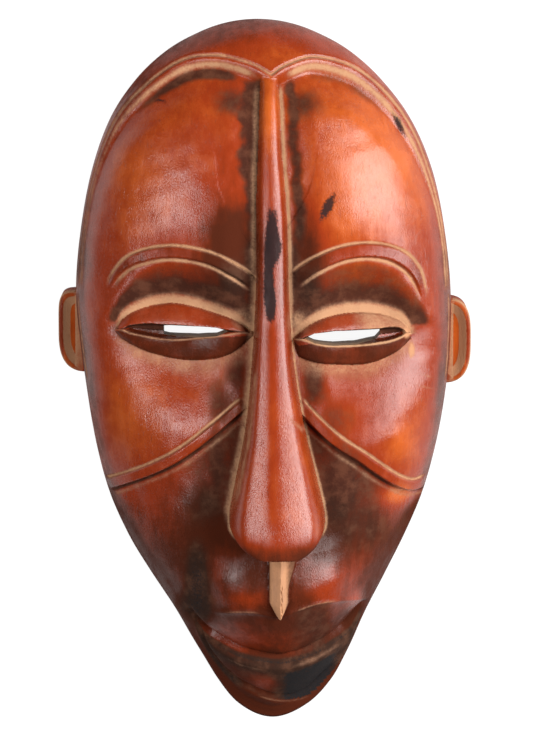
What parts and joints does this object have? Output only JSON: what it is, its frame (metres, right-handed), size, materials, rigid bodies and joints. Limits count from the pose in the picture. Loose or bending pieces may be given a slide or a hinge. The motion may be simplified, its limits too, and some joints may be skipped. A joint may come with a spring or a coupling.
{
  "type": "carved wooden face mask",
  "caption": "Hollow-backed carved face mask with a ridge running into the nose, arched brows, slit eyes, raised cheek weals and small ears.",
  "frame": {"origin": "middle of the bounding box in plan, on the plane of the flat back rim", "axes": "the mask lies face up: +Z out of the face, +Y toward the crown, +X toward the viewer's right"},
  "size_m": [0.1782, 0.3032, 0.1024],
  "materials": {
    "wood": "waxed, worn, with dust in the grooves"
  },
  "bodies": {
    "root": {"mask": "wood"}
  },
  "joints": []
}
